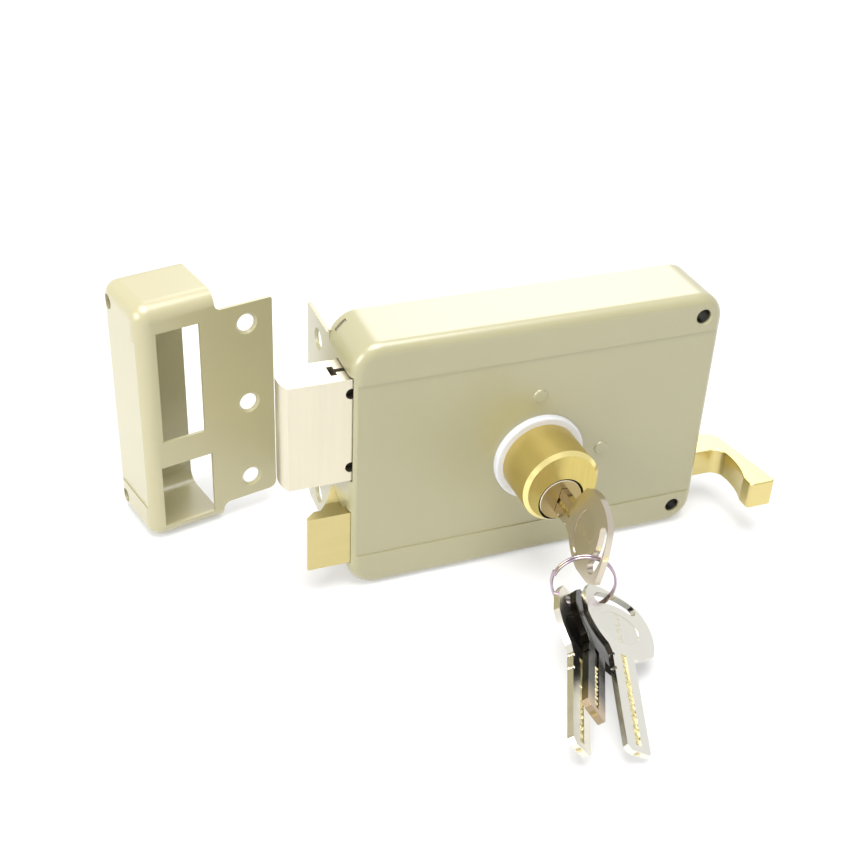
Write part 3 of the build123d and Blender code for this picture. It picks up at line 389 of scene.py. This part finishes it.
def key_look(name, key, shade, rough=0.3, painted_shade=False):
    origin, out, across, through = key_frames[key]
    paint = Paint(name)
    place = paint.moved(paint.place(), origin)
    o, a, t = [paint.along(place, direction) for direction in (out, across, through)]
    strokes = stroke_noise(paint, paint.vector(o, a, t), key_strokes)
    cloud = paint.noise(place, scale=110, detail=3)
    light, dark = around(shade, 1.04, 0.93)
    nickel = paint.mix(strokes * 0.5 + cloud * 0.5, dark, light)
    in_groove = abs(t).under(groove_level, 2 * soft) * abs(a).under(groove_half, soft)
    marked = paint.vector(*[part * count for part, count in zip((o, a, t), groove_marks)])
    marks = paint.noise(marked, scale=1.0, detail=3).over(0.5, 0.2)
    groove = paint.mix(marks, *[tone(*brass) for brass in groove_shades])
    colour = paint.mix(in_groove, nickel, groove)
    # Painted shade: the key's colour is tinted near black towards the bow and brownish towards the tip
    if painted_shade:
        shade_to_bow = o.over(shade_ends, shade_fades)
        colour = paint.tinted(colour, paint.mix(shade_to_bow, tone(*shaded_tip_tint), tone(*shaded_bow_tint)))
    on_edge = abs(t).under(key_thick / 2 - soft / 2, soft) * (1 - in_groove)
    return paint.surface(
        colour=colour,
        metal=1.0,
        rough=rough - 0.04 + 0.1 * strokes - 0.07 * on_edge,
        normal=paint.bump(strokes * 0.6 + cloud * 0.4, 0.02 * mm),
    )


# Case and keeper
case_beige = (161, 156, 119)
# The keeper has the case's enamel, written lighter than the case's as painted light, to make up for the light
# the keeper lacks
keeper_beige_brightened = (174, 167, 129)
dress(enamel("beige_enamel", case_beige), "case_shell")
dress(enamel("beige_enamel_keeper_brightened", keeper_beige_brightened), "keeper_box")

# Sheet and steel parts inside and behind
zinc_sheet = brushed("zinc_sheet", (190, 190, 184), "x", rough=0.38)
dress(zinc_sheet, "back_plate", "cylinder_retainer", "spring_anchor")
dress(brushed("zinc_plate", (178, 178, 172), "x", rough=0.36), "latch_slide")
dress(dark_steel("blackened_plate", (66, 64, 60)), "bolt_plate")
dress(brushed("bright_zinc", (200, 197, 182), "x", rough=0.25), "back_plate_screws")
dress(brushed("tube_steel", (180, 180, 176), "y", rough=0.35), "fixing_sleeves", "spring_rod")
dress(dark_steel("blackened_pins", (46, 44, 42)), "bolt_pins", "latch_pins", "pull_pins")
spring_steel = brushed("spring_steel", (140, 141, 144), "x")
dress(spring_steel, "latch_spring", "brake_spring", "plug_clip", "pin_springs")
dress(brushed("sintered_steel", (170, 168, 160), "y", rough=0.42), "drive_pinion")

# Bolts and pull
dress(brushed("champagne_nickel", (220, 213, 192), "z", rough=0.36, fine=0.5, stain=0.1), "deadbolt_head")
dress(brushed("latch_nickel", (202, 188, 134), "x", rough=0.34, fine=0.6, stain=0.13), "latch_head")
dress(brushed("pale_brass", (216, 200, 138), "x"), "finger_pull")

# Cylinder and keys
cylinder_brass = round_look(
    "cylinder_brass", cylinder_front, cylinder_radius, cylinder_bevel,
    wall=(214, 194, 122), face=(216, 197, 118), edge=(240, 224, 152), rough=0.42,
)
plug_brass = round_look(
    "plug_brass", plug_front, plug_radius, plug_bevel,
    wall=(160, 140, 98), face=(180, 160, 112), edge=(232, 222, 200), rough=0.34,
)
dress(cylinder_brass, "cylinder_body", "pin_caps")
dress(plug_brass, "cylinder_plug")
dress(turned("pin_brass", (212, 190, 120)), "driver_pins", "key_pins")
# The lock key's nickel is written darker and browner than the spare keys', as a painted reflection of the
# enamel and the floor
dress(key_look("lock_key_reflection_tinted_nickel", "lock", (206, 196, 180), rough=0.24), "lock_key")
dress(key_look("right_key_nickel", "right", (236, 234, 224)), "spare_key_right")
dress(key_look("left_key_nickel", "left", (236, 232, 220)), "spare_key_left")
# The middle key's nickel is written darker than the other spare keys' and takes the painted shade
middle_key_shaded_nickel = key_look("middle_key_shaded_nickel", "middle", (214, 204, 186), rough=0.24, painted_shade=True)
dress(middle_key_shaded_nickel, "spare_key_middle")


# Polished steel ring, faintly violet in places and straw in others
ring = Paint("ring_steel")
ring_tint = ring.noise(ring.place(), scale=160)
ring_grain = ring.noise(ring.place(), scale=1200)
ring_colour = ring.mix(ring_tint.over(0.5, 0.3), tone(196, 180, 206), tone(178, 160, 146))
dress(ring.surface(colour=ring_colour, metal=1.0, rough=0.12 + 0.08 * ring_grain), "split_ring")

# Riveted ends of the guide posts are painted with the case, and bare steel behind it
rivet = Paint("painted_rivets")
enamel_colour, enamel_rough, enamel_height = enamel_look(rivet, case_beige)
bare = rivet.parts_of(rivet.place())[1].over(painted_to, soft)
rivet.surface(
    colour=rivet.mix(bare, enamel_colour, tone(188, 186, 180)), rough=enamel_rough, metal=bare, coat=1 - bare,
    normal=rivet.bump(enamel_height, ripple_depth, ripple_strength), **glaze,
)
dress(rivet.material, "guide_posts")

# Milky plastic collar
collar = Paint("milky_collar")
collar_cloud = collar.noise(collar.place(), scale=120)
collar.surface(
    colour=collar.mix(collar_cloud, tone(204, 205, 210), tone(214, 215, 220)),
    rough=0.35 + 0.08 * collar_cloud, through=0.08, depth=0.8 * mm,
)
dress(collar.material, "cylinder_collar")


# Brass ridges that the milling leaves between a key's cuts: one is modelled, the rest are copies
ridge_size = Vector((1.3, 1.9, 0.42)) * mm
ridge_top = (0.25, 0.9, 1)
ridge_lean = 0.12 * mm
ridge_round = 0.06 * mm

# For each ridge, in millimetres and degrees: how far down the blade, how far aside, turned by
ridge_places = (
    (1.6, 0.1, 24),
    (4.1, -0.12, -30),
    (6.4, 0.14, 28),
    (9.0, -0.1, -20),
    (11.8, 0, 0),
    (14.0, 0.12, 26),
    (16.3, -0.14, -28),
    (18.6, 0.1, 18),
    (21.6, 0, 0),
)


def model_ridge():
    """A block whose top is drawn in and leans, with its edges rounded"""
    bpy.ops.object.select_all(action="DESELECT")
    bpy.ops.mesh.primitive_cube_add(size=1, location=(0, 0, 0))
    ridge = bpy.context.object
    ridge.scale = ridge_size
    bpy.ops.object.transform_apply(location=False, rotation=False, scale=True)
    bpy.ops.object.mode_set(mode="EDIT")
    bpy.ops.mesh.select_all(action="DESELECT")
    bpy.context.tool_settings.mesh_select_mode = (False, False, True)
    mesh = bmesh.from_edit_mesh(ridge.data)
    for face in mesh.faces:
        face.select_set(face.normal.z > 0.5)
    bmesh.update_edit_mesh(ridge.data)
    bpy.ops.transform.resize(value=ridge_top)
    bpy.ops.transform.translate(value=(ridge_lean, 0, 0))
    bpy.ops.mesh.select_all(action="SELECT")
    bpy.ops.mesh.bevel(offset=ridge_round, segments=2, affect="EDGES")
    bpy.ops.object.mode_set(mode="OBJECT")
    return ridge


def ridges_on(key, ridge):
    """Copies of the ridge down both faces of a key, joined into one piece"""
    origin, out, across, through = key_frames[key]
    copies = []
    for side in (1, -1):
        face_turn = Matrix((out, across * side, through * side)).transposed().to_4x4()
        for step, aside, turn in ridge_places:
            copy = ridge.copy()
            copy.data = ridge.data.copy()
            scene.collection.objects.link(copy)
            centre = origin - out * step * mm + across * aside * mm + through * side * groove_level
            own_turn = Matrix.Rotation(radians(turn), 4, "Z")
            copy.data.transform(Matrix.Translation(centre) @ face_turn @ own_turn)
            copy.matrix_world = Matrix.Identity(4)
            copies.append(copy)
    bpy.ops.object.select_all(action="DESELECT")
    for copy in copies:
        copy.select_set(True)
    bpy.context.view_layer.objects.active = copies[0]
    bpy.ops.object.join()
    return bpy.context.object


cut_brass = Paint("cut_brass")
cut_marks = cut_brass.noise(cut_brass.place(), scale=1500)
cut_colour = cut_brass.mix(cut_marks, tone(206, 190, 132), tone(252, 244, 200))
cut_brass.surface(colour=cut_colour, metal=1.0, rough=0.24 + 0.12 * cut_marks)
first_ridge = model_ridge()
for name in spare_keys:
    ridges = ridges_on(name, first_ridge)
    ridges.name = f"{name}_key_ridges"
    ridges.data.materials.append(cut_brass.material)
    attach(ridges, f"{name}_key")
bpy.data.objects.remove(first_ridge)


# Camera at the photograph's place, fitted to the corners of the case, the bolts and the keeper
camera_place = (-0.19194, -0.37724, 0.32342)
camera_ahead = Vector((0.3157, 0.7750, -0.5475)).normalized()
camera_level = Vector((0.9349, -0.3528, 0.0397)).normalized()
camera_data = bpy.data.cameras.new("camera")
camera_data.lens = 58.27
camera_data.sensor_width = 36
camera_data.clip_start = 0.02
camera_data.clip_end = 20
camera = bpy.data.objects.new("camera", camera_data)
scene.collection.objects.link(camera)
camera_up = camera_level.cross(camera_ahead).normalized()
camera_right = camera_ahead.cross(camera_up)
camera_turn = Matrix((camera_right, camera_up, -camera_ahead)).transposed().to_4x4()
camera.matrix_world = Matrix.Translation(camera_place) @ camera_turn
scene.camera = camera


# Pale floor that takes the shadow, and looks white to the camera and in reflections
floor_grey = (0.86, 0.86, 0.86)
floor_glow = 0.42
bpy.ops.object.select_all(action="DESELECT")
bpy.ops.mesh.primitive_plane_add(size=12, location=(0, 0, 0))
floor = bpy.context.object
floor.name = "floor"
ground = Paint("pale_floor")
ray = ground.node("ShaderNodeLightPath", output="Is Camera Ray")
seen = ray.larger(ray.beside("Is Glossy Ray")).larger(ray.beside("Is Transmission Ray"))
ground.surface(colour=floor_grey, rough=0.9, ior=1.0)
glow = ground.node("ShaderNodeEmission", values={"Color": white, "Strength": 1.0})
diffuse = Sock(ground, ground.shader.outputs[0])
blend = ground.node("ShaderNodeMixShader", values={0: seen * floor_glow, 1: diffuse, 2: glow})
ground.put(ground.out.inputs[0], blend)
floor.data.materials.append(ground.material)

# Soft studio light: a plain sky, a little brighter to the camera and in reflections
sky_light = 0.5
sky_seen = 0.4
world = bpy.data.worlds.new("studio")
scene.world = world
world.use_nodes = True
sky = Shop(world.node_tree)
sky_ray = sky.node("ShaderNodeLightPath", output="Is Camera Ray")
backdrop = world.node_tree.nodes["Background"]
sky.put(backdrop.inputs["Color"], white)
sky.put(backdrop.inputs["Strength"], sky_ray.larger(sky_ray.beside("Is Glossy Ray")) * sky_seen + sky_light)


def lamp(name, place, aim, size, power):
    """A soft round light that faces a point"""
    data = bpy.data.lights.new(name, "AREA")
    data.shape = "DISK"
    data.size = size
    data.energy = power
    made = bpy.data.objects.new(name, data)
    scene.collection.objects.link(made)
    made.location = place
    made.rotation_mode = "QUATERNION"
    made.rotation_quaternion = (Vector(aim) - Vector(place)).to_track_quat("-Z", "Y")


lamp("overhead", place=(-0.1, -0.2, 1.5), aim=(0, 0, 0), size=1.2, power=27)
lamp("left", place=(-1.4, -0.5, 0.7), aim=(0, 0, 0.04), size=0.9, power=14)
lamp("behind", place=(0.55, 1.05, 0.95), aim=(0, 0, 0.06), size=0.9, power=5.5)
